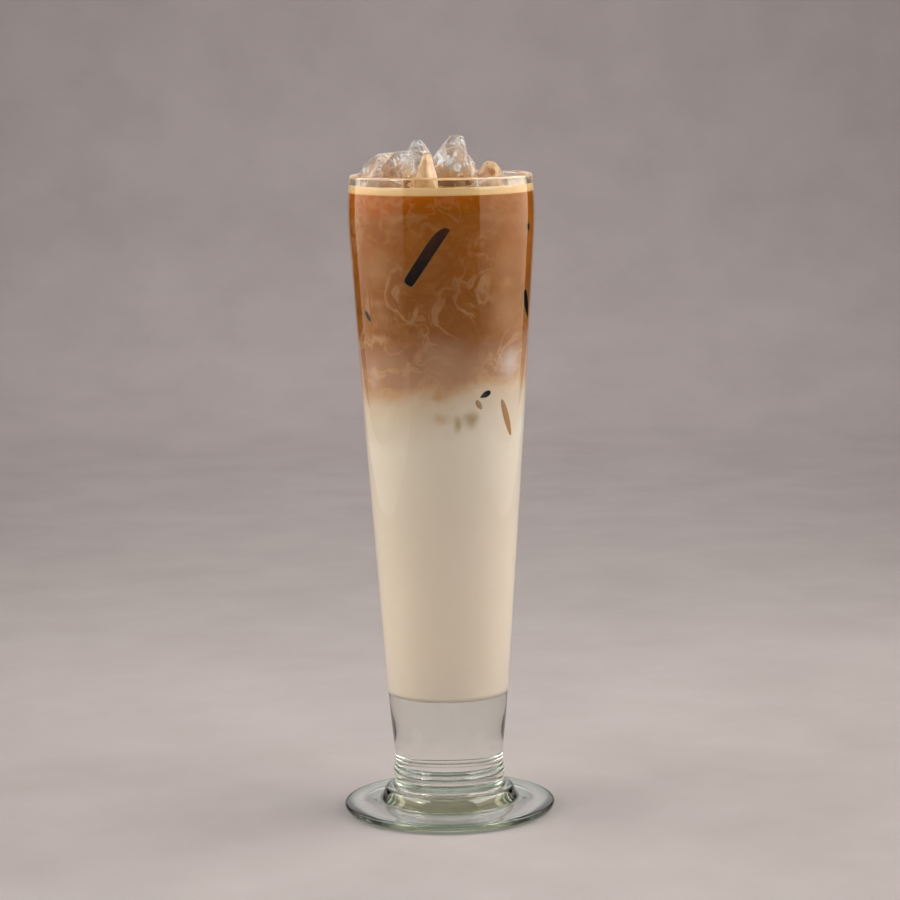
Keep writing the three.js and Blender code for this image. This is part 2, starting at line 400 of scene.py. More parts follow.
@dataclass(frozen=True)
class LatteLiquid:
    """Milk with coffee poured over it: opaque, with a cloudy border and pale threads in the coffee."""

    layers: tuple[tuple[float, str], ...] = (
        (62.0, "#f4e7d5"), (84.0, "#f3e6d4"), (114.0, "#eee2d1"), (140.0, "#ebe1d0"), (146.0, "#e6d9c8"),
        (154.8, "#ddcbb2"), (158.4, "#cfac88"), (161.9, "#be9374"), (170.8, "#b28968"), (176.1, "#a67552"),
        (181.4, "#99602a"), (192.0, "#92571a"), (208.0, "#9c5a15"), (222.0, "#965507"), (228.0, "#a95602"),
    )
    thread_tone: str = "#d6ac80"
    thread_size: float = 13.0
    thread_bend: float = 14.0
    thread_drift: float = 2.2
    cloud_size: float = 24.0
    cloud_reach: float = 13.0
    tilt: float = 0.08
    haze_tone: str = "#bd8748"
    haze_size: float = 9.0
    haze_drift: float = 2.5
    haze_flatness: float = 1.7
    haze_most: float = 0.38
    blots: tuple[Blot, ...] = (
        Blot(20, 148.7, 27.1, 4, 4.2, "#b59c70", 0.9), Blot(9.7, 147.2, 27, 2.2, 3.6, "#b39e6c", 0.85),
        Blot(-2.4, 148.9, 27.1, 4, 2.8, "#cda880", 0.65), Blot(-4.3, 157.2, 27.7, 3, 2.4, "#bd8f52", 0.65),
        Blot(54, 168, 28.4, 7.5, 7.5, "#d8cac4", 0.85), Blot(-48, 177.2, 29, 6.5, 2.2, "#cfa878", 0.6),
        Blot(-58, 163, 28, 5, 7.5, "#dcc4ae", 0.35), Blot(46, 197, 30.3, 5, 3.6, "#bd8a55", 0.55),
        Blot(-50, 190, 29.8, 5, 2.2, "#c08c56", 0.5), Blot(150, 150, 27.2, 4.4, 3, "#c9a880", 0.8),
        Blot(-140, 164, 28.1, 6, 5, "#d8cac0", 0.6), Blot(115, 200, 30.5, 4, 3, "#bd8a55", 0.6),
        Blot(48, 187, 29.6, 10, 13, "#c49468", 0.5), Blot(-46, 186, 29.5, 5, 9, "#b98a60", 0.35),
        Blot(-46, 203, 30.6, 9, 10, "#b9905f", 0.42), Blot(47, 205, 30.7, 9, 9, "#b98c58", 0.4),
    )
    blot_bend: float = 1.3
    blot_bend_size: float = 3.5
    blot_end: float = 1.15

    def build(self) -> Material:
        """Makes the material: colour by height, bent by clouds, with haze, threads and patches over it."""
        nodes = Nodes(bpy.data.materials.new("milk_and_coffee"))
        low, high = self.layers[0][0], self.layers[-1][0]
        level = self.level(nodes)
        along = nodes.add("MapRange", {"From Min": low, "From Max": high, "Value": level})
        stops = [((height - low) / (high - low), tone) for height, tone in self.layers]
        colour = nodes.add("ValToRGB", {"Fac": along, "stops": stops})
        veils = ((self.haze(nodes), self.haze_tone), (self.threads(nodes), self.thread_tone))
        for share, tone in veils:
            colour = nodes.add("Mix", {
                "data_type": "RGBA", "blend_type": "LIGHTEN", 0: share, 6: colour, 7: tone,
            })
        surface = nodes.add("BsdfPrincipled", {
            "Roughness": 0.35, "IOR": 1.34, "Specular IOR Level": 0.02,
            "Base Color": self.blotted(nodes, colour),
        })
        nodes.add("OutputMaterial", {"Surface": surface})
        return nodes.owner

    def blotted(self, nodes: Nodes, colour: Any) -> Any:
        """Lays the soft patches over the liquid's colour.

        Args:
            nodes: The material's nodes.
            colour: The node with the colour so far.

        Returns:
            The node with the patches in it.
        """
        bent = self.drawn(nodes, self.blot_bend_size, self.blot_bend)
        for blot in self.blots:
            turn = math.radians(blot.bearing_deg)
            centre = Vector((blot.radius * math.sin(turn), -blot.radius * math.cos(turn), blot.height)) * MM
            wide, tall = 1 / (blot.half_width * MM), 1 / (blot.half_height * MM)
            aside = nodes.add("VectorMath", {"operation": "SUBTRACT", 0: bent, 1: centre})
            scaled = nodes.add("VectorMath", {"operation": "MULTIPLY", 0: aside, 1: (wide, wide, tall)})
            away = nodes.add("VectorMath", {"operation": "LENGTH", 0: scaled})
            shown = nodes.add("MapRange", {
                "From Min": 0.0, "From Max": self.blot_end, "To Min": blot.strength, "To Max": 0.0,
                "interpolation_type": "SMOOTHSTEP", "Value": away,
            })
            colour = nodes.add("Mix", {"data_type": "RGBA", 0: shown, 6: colour, 7: blot.tone})
        return colour

    def drawn(self, nodes: Nodes, size: float, amount: float) -> Any:
        """Bends the coordinates by a slow drift.

        Args:
            nodes: The material's nodes.
            size: How long the drift's waves are.
            amount: How far it carries a point at most.

        Returns:
            The node with the bent place.
        """
        drift = nodes.add("TexNoise", {"Scale": 1 / (size * MM), "Detail": 2.0, "Vector": nodes.place})
        centred = nodes.add("VectorMath", {
            "operation": "SUBTRACT", 0: drift.outputs["Color"], 1: (0.5, 0.5, 0.5),
        })
        carried = nodes.add("VectorMath", {"operation": "SCALE", 0: centred, "Scale": 2 * amount * MM})
        return nodes.add("VectorMath", {"operation": "ADD", 0: nodes.place, 1: carried})

    def level(self, nodes: Nodes) -> Any:
        """Works out which layer a point lies in.

        Args:
            nodes: The material's nodes.

        Returns:
            The node with the point's height in millimetres, moved by clouds and lower to the right.
        """
        height = nodes.add("Math", {"operation": "DIVIDE", 0: nodes.height, 1: MM})
        cloud = nodes.add("TexNoise", {
            "Scale": 1 / (self.cloud_size * MM), "Detail": 4.0, "Roughness": 0.5, "Distortion": 0.7,
            "Vector": nodes.place,
        })
        half = self.cloud_reach / 2
        lift = nodes.add("MapRange", {
            "From Min": 0.25, "From Max": 0.75, "To Min": -half, "To Max": half, "Value": cloud,
        })
        moved = nodes.add("Math", {"operation": "ADD", 0: height, 1: lift})
        across = nodes.add("Math", {"operation": "MULTIPLY", 0: nodes.x, 1: self.tilt / MM})
        return nodes.add("Math", {"operation": "SUBTRACT", 0: moved, 1: across})

    def haze(self, nodes: Nodes) -> Any:
        """Works out how much stirred-in milk shows at a point.

        Args:
            nodes: The material's nodes.

        Returns:
            A node from 0 to the haze's most, in soft veils that lie rather level.
        """
        bent = self.drawn(nodes, self.haze_drift * self.haze_size, self.thread_bend)
        lain = nodes.add("VectorMath", {"operation": "MULTIPLY", 0: bent, 1: (1.0, 1.0, self.haze_flatness)})
        veil = nodes.add("TexNoise", {
            "Scale": 1 / (self.haze_size * MM), "Detail": 7.0, "Roughness": 0.62, "Distortion": 1.4,
            "Vector": lain,
        })
        return nodes.add("MapRange", {
            "From Min": 0.46, "From Max": 0.74, "To Max": self.haze_most, "Value": veil,
        })

    def threads(self, nodes: Nodes) -> Any:
        """Works out how much of a pale milk thread shows at a point.

        Args:
            nodes: The material's nodes.

        Returns:
            A node from 0 to 1, strongest over the border and weak near the foam.
        """
        drift = self.thread_drift * self.thread_size
        bent = self.drawn(nodes, drift, 2 * self.thread_bend)
        strand = nodes.add("TexNoise", {
            "Scale": 1 / (self.thread_size * MM), "Detail": 5.0, "Roughness": 0.6, "Vector": bent,
        })
        offset = nodes.add("Math", {"operation": "SUBTRACT", 0: strand, 1: 0.5})
        fold = nodes.add("Math", {"operation": "ABSOLUTE", 0: offset})
        line = nodes.add("MapRange", {
            "From Min": 0.0, "From Max": 0.06, "To Min": 1.0, "To Max": 0.0,
            "interpolation_type": "SMOOTHSTEP", "Value": fold,
        })
        patch = nodes.add("TexNoise", {"Scale": 1 / (drift * MM), "Detail": 2.0, "Vector": nodes.place})
        gap = nodes.add("MapRange", {
            "From Min": 0.42, "From Max": 0.62, "interpolation_type": "SMOOTHSTEP", "Value": patch,
        })
        shown = nodes.add("Math", {"operation": "MULTIPLY", 0: line, 1: gap})
        fade = nodes.add("MapRange", {
            "From Min": 155 * MM, "From Max": 222 * MM, "To Min": 0.65, "To Max": 0.15,
            "Value": nodes.height,
        })
        return nodes.add("Math", {"operation": "MULTIPLY", 0: shown, 1: fade})


@dataclass(frozen=True)
class CoffeeFoam:
    """Fine froth of coffee and milk: tan against the glass, brown and wet on top, with pale bubbles."""

    low: str = "#d39d4e"
    side: str = "#e1bc87"
    side_heights: Span = (228.3, 229.2)
    top_wet: str = "#8d6840"
    top_pale: str = "#c2a074"
    side_radius: float = 31.0
    side_fade: float = 0.7
    bubble_size: float = 0.9
    drift_size: float = 9.0
    film_roughness: float = 0.06

    def build(self) -> Material:
        """Makes the material: tan at the side, mottled on top, with bubble relief under a glossy film."""
        nodes = Nodes(bpy.data.materials.new("coffee_foam"))
        low, high = self.side_heights
        along = nodes.add("MapRange", {
            "From Min": low * MM, "From Max": high * MM,
            "Value": nodes.height,
        })
        side = nodes.add("Mix", {"data_type": "RGBA", 0: along, 6: self.low, 7: self.side})
        drift = nodes.add("TexNoise", {
            "Scale": 1 / (self.drift_size * MM), "Detail": 5.0, "Roughness": 0.6, "Distortion": 0.8,
            "Vector": nodes.place,
        })
        top = nodes.add("ValToRGB", {"Fac": drift, "stops": [(0.4, self.top_wet), (0.66, self.top_pale)]})
        outside = nodes.add("MapRange", {
            "From Min": (self.side_radius - self.side_fade) * MM, "From Max": self.side_radius * MM,
            "Value": axis_distance(nodes),
        })
        surface = nodes.add("BsdfPrincipled", {
            "Roughness": 0.6, "IOR": 1.34, "Specular IOR Level": 0.2,
            "Coat Weight": 1.0, "Coat Roughness": self.film_roughness, "Coat IOR": 1.33,
            "Base Color": nodes.add("Mix", {"data_type": "RGBA", 0: outside, 6: top, 7: side}),
            "Normal": cell_relief(nodes, self.bubble_size, 0.35, 0.25),
        })
        nodes.add("OutputMaterial", {"Surface": surface})
        return nodes.owner


@dataclass(frozen=True)
class MeltingIce:
    """Clear ice wet with melt: bright edges, and near the foam a tan tint: coffee clinging, and painted
    reflection of the foam.
    """

    name: str
    stain_and_reflection: str
    clear_from: float
    stain_and_reflection_to: float
    clear: str = "#eef0f1"
    ior: float = 1.31
    roughness: float = 0.02
    see_through: float = 0.92
    patch_size: float = 5.0
    sway: float = 4.0
    crackle_size: float = 1.6

    def build(self) -> Material:
        """Makes the material: refracting ice whose colour runs from stain and painted reflection up to
        clear.
        """
        nodes = Nodes(bpy.data.materials.new(self.name))
        # Tan low down, near the foam: partly coffee stain, partly painted reflection of the foam below.
        along = nodes.add("MapRange", {
            "From Min": self.stain_and_reflection_to * MM, "From Max": self.clear_from * MM,
            "Value": swayed_height(nodes, self.patch_size, self.sway, 0.6),
        })
        surface = nodes.add("BsdfPrincipled", {
            "Roughness": self.roughness, "IOR": self.ior, "Transmission Weight": self.see_through,
            "Base Color": nodes.add("Mix", {"data_type": "RGBA", 0: along, 6: self.stain_and_reflection, 7: self.clear}),
            "Normal": cell_relief(nodes, self.crackle_size, 0.4, 0.3, "F1"),
        })
        nodes.add("OutputMaterial", {"Surface": surface})
        return nodes.owner


@dataclass(frozen=True)
class IceCrack:
    """A crack inside ice, filled with air and frost: white and shimmering where the light strikes it."""

    tone: str = "#ffffff"
    shade: str = "#d6dde2"
    see_through: float = 0.45
    frost_size: float = 0.8

    def build(self) -> Material:
        """Makes the material: white frost in fine patches, half see-through."""
        nodes = Nodes(bpy.data.materials.new("frosted_ice_crack"))
        frost = nodes.add("TexNoise", {
            "Scale": 1 / (self.frost_size * MM), "Detail": 3.0, "Vector": nodes.place,
        })
        surface = nodes.add("BsdfPrincipled", {
            "Roughness": 0.2, "IOR": 1.1, "Transmission Weight": self.see_through,
            "Base Color": nodes.add("ValToRGB", {
                "Fac": frost, "stops": [(0.4, self.shade), (0.6, self.tone)],
            }),
        })
        nodes.add("OutputMaterial", {"Surface": surface})
        return nodes.owner


@dataclass(frozen=True)
class FoamCoatedIce:
    """Ice under a skin of coffee foam: tan and mottled, half see-through, with bubbles and a wet shine."""

    name: str
    pale: str
    brown: str
    see_through: float
    mottle_size: float = 3.0
    bubble_size: float = 0.7
    roughness: float = 0.45
    film: float = 0.35

    def build(self) -> Material:
        """Makes the material: two tones of foam in patches over dim ice, with bubbles under a wet film."""
        nodes = Nodes(bpy.data.materials.new(self.name))
        mottle = nodes.add("TexNoise", {
            "Scale": 1 / (self.mottle_size * MM), "Detail": 4.0, "Roughness": 0.6, "Distortion": 0.5,
            "Vector": nodes.place,
        })
        surface = nodes.add("BsdfPrincipled", {
            "Roughness": self.roughness, "IOR": 1.31, "Transmission Weight": self.see_through,
            "Coat Weight": self.film, "Coat Roughness": 0.12, "Coat IOR": 1.33,
            "Base Color": nodes.add("ValToRGB", {
                "Fac": mottle, "stops": [(0.36, self.brown), (0.6, self.pale)],
            }),
            "Normal": cell_relief(nodes, self.bubble_size, 0.25, 0.15),
        })
        nodes.add("OutputMaterial", {"Surface": surface})
        return nodes.owner


@dataclass(frozen=True)
class SunkIce:
    """Ice pressed against the glass under the coffee: a dark wet window with no milk in front of it."""

    name: str
    deep: str
    edge: str
    deep_to: float = 200.0
    edge_from: float = 217.0
    cloud_size: float = 3.0
    drift: float = 6.0

    def build(self) -> Material:
        """Makes the material: darkest low down, browner towards the top, with a slow drift between."""
        nodes = Nodes(bpy.data.materials.new(self.name))
        along = nodes.add("MapRange", {
            "From Min": self.deep_to * MM, "From Max": self.edge_from * MM,
            "Value": swayed_height(nodes, self.cloud_size, self.drift),
        })
        surface = nodes.add("BsdfPrincipled", {
            "Roughness": 0.2, "IOR": 1.34, "Specular IOR Level": 0.05,
            "Base Color": nodes.add("ValToRGB", {
                "Fac": along, "stops": [(0.0, self.deep), (1.0, self.edge)],
            }),
        })
        nodes.add("OutputMaterial", {"Surface": surface})
        return nodes.owner


@dataclass(frozen=True)
class PaintedBoard:
    """A board with matt paint or cloth on it: flat, with faint cloudy marks, and of other tones far back."""

    name: str
    near: tuple[str, str]
    far: tuple[str, str] | None = None
    near_to: float = 300.0
    far_from: float = 1150.0
    patch_size: float = 60.0

    def build(self) -> Material:
        """Makes the material: two close tones in soft patches, quite matt."""
        nodes = Nodes(bpy.data.materials.new(self.name))
        patch = nodes.add("TexNoise", {
            "Scale": 1 / (self.patch_size * MM), "Detail": 6.0, "Roughness": 0.6, "Vector": nodes.place,
        })
        near, far = (
            nodes.add("ValToRGB", {"Fac": patch, "stops": [(0.35, dark), (0.65, light)]})
            for dark, light in (self.near, self.far or self.near)
        )
        depth = nodes.add("MapRange", {
            "From Min": self.near_to * MM, "From Max": self.far_from * MM,
            "interpolation_type": "SMOOTHSTEP",
            "Value": nodes.y,
        })
        surface = nodes.add("BsdfPrincipled", {
            "Roughness": 0.85, "Specular IOR Level": 0.2,
            "Base Color": nodes.add("Mix", {"data_type": "RGBA", 0: depth, 6: near, 7: far}),
        })
        nodes.add("OutputMaterial", {"Surface": surface})
        return nodes.owner


@dataclass
class FootedGlass:
    """The glass: disc foot, collar, neck with two rings, heavy solid base, tapered bowl and round lip."""

    height: float = 235.0
    brim_radius: float = 33.8
    brim_height: float = 221.0
    brim_fall: float = 0.0034
    shoulder_height: float = 208.0
    taper_bulge: float = 0.26
    base_height: float = 39.0
    base_radius: float = 21.75
    base_taper: float = 0.07
    base_handle: float = 9.0
    waist_height: float = 17.4
    waist_radius: float = 19.9
    waist_handle: float = 6.0
    wall_at_rim: float = 2.2
    wall_at_base: float = 2.7
    floor_height: float = 43.9
    floor_corner: float = 2.4
    lip_drop: float = 1.1
    ring_count: int = 2
    ring_pitch: float = 1.8
    ring_relief: float = 0.35
    ring_step: float = 0.3
    neck_radius: float = 20.2
    neck_foot_height: float = 8.7
    neck_fillet: float = 1.7
    collar_radius: float = 24.9
    collar_lean: float = 0.6
    collar_foot_height: float = 4.2
    collar_fillet: float = 2.4
    disc_radius: float = 38.95
    disc_widest_height: float = 2.0
    disc_top_inner: float = 3.4
    disc_top_outer: float = 3.1
    disc_round: float = 2.0
    rest_outer: float = 35.0
    rest_inner: float = 27.0
    punt_height: float = 5.0
    punt_fullness: float = 0.62
    segments: int = 192
    punt_steps: int = 24
    edge_steps: int = 8
    fillet_steps: int = 10
    shoulder_steps: int = 16
    ring_steps: int = 24
    base_steps: int = 20
    wall_steps: int = 80
    lip_steps: int = 14

    def outer_radius(self, height: float) -> float:
        """The bowl's outer radius at a height above the base."""
        def brim(z: float) -> float:
            """The bowl's top stretch, which swells and closes in a little."""
            return self.brim_radius - self.brim_fall * (z - self.brim_height) ** 2
        if height >= self.shoulder_height:
            return brim(height)
        along = (height - self.base_height) / (self.shoulder_height - self.base_height)
        straight = self.base_radius + (brim(self.shoulder_height) - self.base_radius) * along
        return straight + 4 * self.taper_bulge * along * (1 - along)

    def inner_radius(self, height: float) -> float:
        """The bowl's inner radius at a height above its floor."""
        along = (height - self.floor_height) / (self.height - self.floor_height)
        wall = self.wall_at_base + (self.wall_at_rim - self.wall_at_base) * along
        return self.outer_radius(height) - wall

    def underside(self) -> Outline:
        """The hollow under the foot, its flat ring and its rounded lower edge."""
        turn = (self.rest_inner * self.punt_fullness, self.punt_height)
        punt = bend((0.0, self.punt_height), turn, (self.rest_inner, 0.0), self.punt_steps)
        widest = (self.disc_radius, self.disc_widest_height)
        return punt + bend((self.rest_outer, 0.0), (self.disc_radius, 0.0), widest, self.edge_steps)

    def foot(self) -> Outline:
        """The disc's upper side, the round-shouldered collar on it, the neck and the rings over the neck."""
        widest = (self.disc_radius, self.disc_widest_height)
        over_edge = bend(widest, (self.disc_radius, self.disc_top_outer),
                         (self.disc_radius - self.disc_round, self.disc_top_outer), self.edge_steps)
        collar_foot = (self.collar_radius, self.collar_foot_height)
        fillet = bend((self.collar_radius + self.collar_fillet, self.disc_top_inner),
                      (self.collar_radius, self.disc_top_inner), collar_foot, self.fillet_steps)
        neck_foot = (self.neck_radius + self.neck_fillet, self.neck_foot_height)
        pull = (self.collar_radius - self.collar_lean, self.neck_foot_height)
        shoulder = bend(collar_foot, pull, neck_foot, self.shoulder_steps)
        hollow = bend(neck_foot, (self.neck_radius, self.neck_foot_height),
                      (self.neck_radius, self.neck_foot_height + self.neck_fillet), self.fillet_steps)
        neck_top = (self.waist_radius + self.ring_count * self.ring_step,
                    self.waist_height - self.ring_count * self.ring_pitch)
        return over_edge[1:] + fillet + shoulder[1:] + hollow[1:] + [neck_top] + self.rings(neck_top[1])

    def rings(self, foot: float) -> Outline:
        """The fine moulded rings, each a low round bead, from the neck's top up to the waist."""
        outline: Outline = []
        for ring in range(self.ring_count):
            low = foot + ring * self.ring_pitch
            radius = self.waist_radius + self.ring_step * (self.ring_count - ring - 1)
            for step in range(1, self.ring_steps + 1):
                t = step / self.ring_steps
                swell = self.ring_relief * (1 - (2 * t - 1) ** 2)
                outline.append((radius + self.ring_step * (1 - t) + swell, low + self.ring_pitch * t))
        return outline

    def bowl(self) -> Outline:
        """The outside from the waist up to the lip."""
        handles = [(self.waist_radius, self.waist_height),
                   (self.waist_radius, self.waist_height + self.waist_handle),
                   (self.base_radius - self.base_taper * self.base_handle,
                    self.base_height - self.base_handle),
                   (self.base_radius, self.base_height)]
        outline: Outline = []
        for i in range(1, self.base_steps + 1):
            t = i / self.base_steps
            weights = ((1 - t) ** 3, 3 * t * (1 - t) ** 2, 3 * t * t * (1 - t), t ** 3)
            outline.append(tuple(sum(w * h[axis] for w, h in zip(weights, handles)) for axis in (0, 1)))
        for z in np.linspace(self.base_height, self.height - self.lip_drop, self.wall_steps)[1:]:
            outline.append((self.outer_radius(float(z)), float(z)))
        return outline

    def lip(self) -> Outline:
        """The fire-polished lip, half an ellipse over the wall."""
        low = self.height - self.lip_drop
        outer = self.outer_radius(low)
        inner = self.inner_radius(low)
        turns = [math.pi * i / self.lip_steps for i in range(1, self.lip_steps + 1)]
        middle, half = (outer + inner) / 2, (outer - inner) / 2
        return [(middle + half * math.cos(a), low + self.lip_drop * math.sin(a)) for a in turns]

    def inside(self, top: float, clearance: float, steps: int = 80) -> Outline:
        """The inside from a height down to the axis.

        Args:
            top: Where the outline starts.
            clearance: How far it is drawn back from the wall, or into the wall where negative.
            steps: Steps along the wall.

        Returns:
            The outline, down the wall, round the corner and along the floor.
        """
        floor = self.floor_height + clearance
        corner_top = self.floor_height + self.floor_corner
        side = self.inner_radius(corner_top) - clearance
        heights = np.linspace(top, corner_top, steps).tolist()
        wall = [(self.inner_radius(z) - clearance, z) for z in heights]
        corner = bend((side, corner_top), (side, floor), (side - self.floor_corner, floor), self.edge_steps)
        return wall + corner[1:] + [(0.0, floor)]

    def build(self) -> Object:
        """Makes the glass as one turned solid and dresses it."""
        inside = self.inside(self.height - self.lip_drop, 0.0)
        outline = self.underside() + self.foot() + self.bowl() + self.lip() + inside[1:]
        rings = [circle(r, z, self.segments) for r, z in outline[1:-1]]
        parts = rings_mesh(rings)
        hubs = parts.vertices[-2:]
        parts.vertices[-2:] = [(0.0, 0.0, self.punt_height), (hubs[1][0], hubs[1][1], self.floor_height)]
        return dress(parts.to_object("footed_glass", PressedGlass().build(), 60.0), Slot.GLASS, "glass")


@dataclass
class Drink:
    """Milk and coffee as two bodies that reach just into the glass's wall, and meet along a tilted seam."""

    glass: FootedGlass
    level: float = 230.4
    foam_thickness: float = 1.9
    seam_height: float = 153.0
    seam_tilt: float = 0.12
    wall_reach: float = 0.15
    segments: int = 192
    rings_up: int = 60

    def seam(self, x: float) -> float:
        """Height of the seam between coffee and milk, higher to the right."""
        return self.seam_height + self.seam_tilt * x

    def wall_ring(self, height: Callable[[float], float]) -> np.ndarray:
        """A ring on the wall whose height depends on how far right it is.

        Args:
            height: Gives the height for a place in X.

        Returns:
            The ring's points.
        """
        ring = circle(self.glass.inner_radius(self.seam_height) + self.wall_reach, 0.0, self.segments)
        points = []
        for x, y, _ in ring:
            z = height(float(x))
            scale = (self.glass.inner_radius(z) + self.wall_reach) / math.hypot(x, y)
            points.append((x * scale, y * scale, z))
        return np.array(points)

    def build_milk(self, liquid: Material) -> Object:
        """Makes the milk, from the glass's floor up to the seam."""
        start = self.glass.floor_height + self.glass.floor_corner
        outline = self.glass.inside(start, -self.wall_reach, 2)[1:-1][::-1]
        rings = [circle(r, z, self.segments) for r, z in outline]
        for t in np.linspace(0, 1, self.rings_up)[1:]:
            rings.append(self.wall_ring(lambda x, t=t: start + (self.seam(x) - start) * float(t)))
        return dress(rings_mesh(rings).to_object("milk_body", liquid), Slot.MILK, "milk")

    def build_coffee(self, liquid: Material, deep: Material) -> Object:
        """Makes the coffee, from the seam up to the foam.

        Args:
            liquid: What shows through the wall.
            deep: What shows at the top, down through the ice.

        Returns:
            The dressed coffee.
        """
        top = self.level - self.foam_thickness
        rings = []
        for t in np.linspace(0, 1, self.rings_up):
            rings.append(self.wall_ring(lambda x, t=t: self.seam(x) + (top - self.seam(x)) * float(t)))
        piece = rings_mesh(rings).to_object("coffee_body", liquid)
        piece.data.materials.append(deep)
        for face in piece.data.polygons[-self.segments:]:
            face.material_index = 1
        return dress(piece, Slot.COFFEE, "coffee")


@dataclass
class Foam:
    """The thin froth on the coffee, which climbs a little at the wall."""

    drink: Drink
    climb: float = 1.0
    climb_width: float = 1.6
    climb_at_wall: float = 0.6
    bump: float = 0.12
    bump_size: float = 7.0
    rings_across: int = 40

    def cut(self, piece: Object, pockets: BMesh) -> None:
        """Cuts the ice's places out of the foam.

        Args:
            piece: The whole foam.
            pockets: The shapes to cut away.
        """
        mesh = bpy.data.meshes.new("ice_pockets")
        pockets.to_mesh(mesh)
        cutter = into_scene("ice_pockets", mesh)
        rule = piece.modifiers.new("pockets", "BOOLEAN")
        rule.operation = "DIFFERENCE"
        rule.solver = "MANIFOLD"
        rule.object = cutter
        done = piece.evaluated_get(bpy.context.evaluated_depsgraph_get())
        result = bpy.data.meshes.new_from_object(done)
        piece.modifiers.remove(rule)
        whole = piece.data
        piece.data = result
        bpy.data.meshes.remove(whole)
        bpy.data.objects.remove(cutter)
        bpy.data.meshes.remove(mesh)

    def build(self, pockets: BMesh) -> Object:
        """Makes the foam as one closed body with an uneven top, open where ice stands in it.

        Args:
            pockets: The shapes that the ice takes up.

        Returns:
            The dressed foam.
        """
        level, segments, inner = self.drink.level, self.drink.segments, self.drink.glass.inner_radius
        heights = (level - self.drink.foam_thickness, level, level + self.climb * self.climb_at_wall)
        rings = [circle(inner(z) + self.drink.wall_reach, z, segments) for z in heights]
        edge = inner(level)
        for i in range(self.rings_across):
            radius = edge * (1 - i / self.rings_across)
            ring = circle(radius, level, segments)
            rise = self.climb * math.exp(-((edge - radius) / self.climb_width) ** 2)
            for point in ring:
                spot = Vector(point) / self.bump_size
                point[2] += rise + self.bump * noise.noise(spot)
            rings.append(ring)
        piece = rings_mesh(rings).to_object("coffee_foam", CoffeeFoam().build(), 70.0)
        self.cut(piece, pockets)
        return dress(piece, Slot.FOAM, "foam")


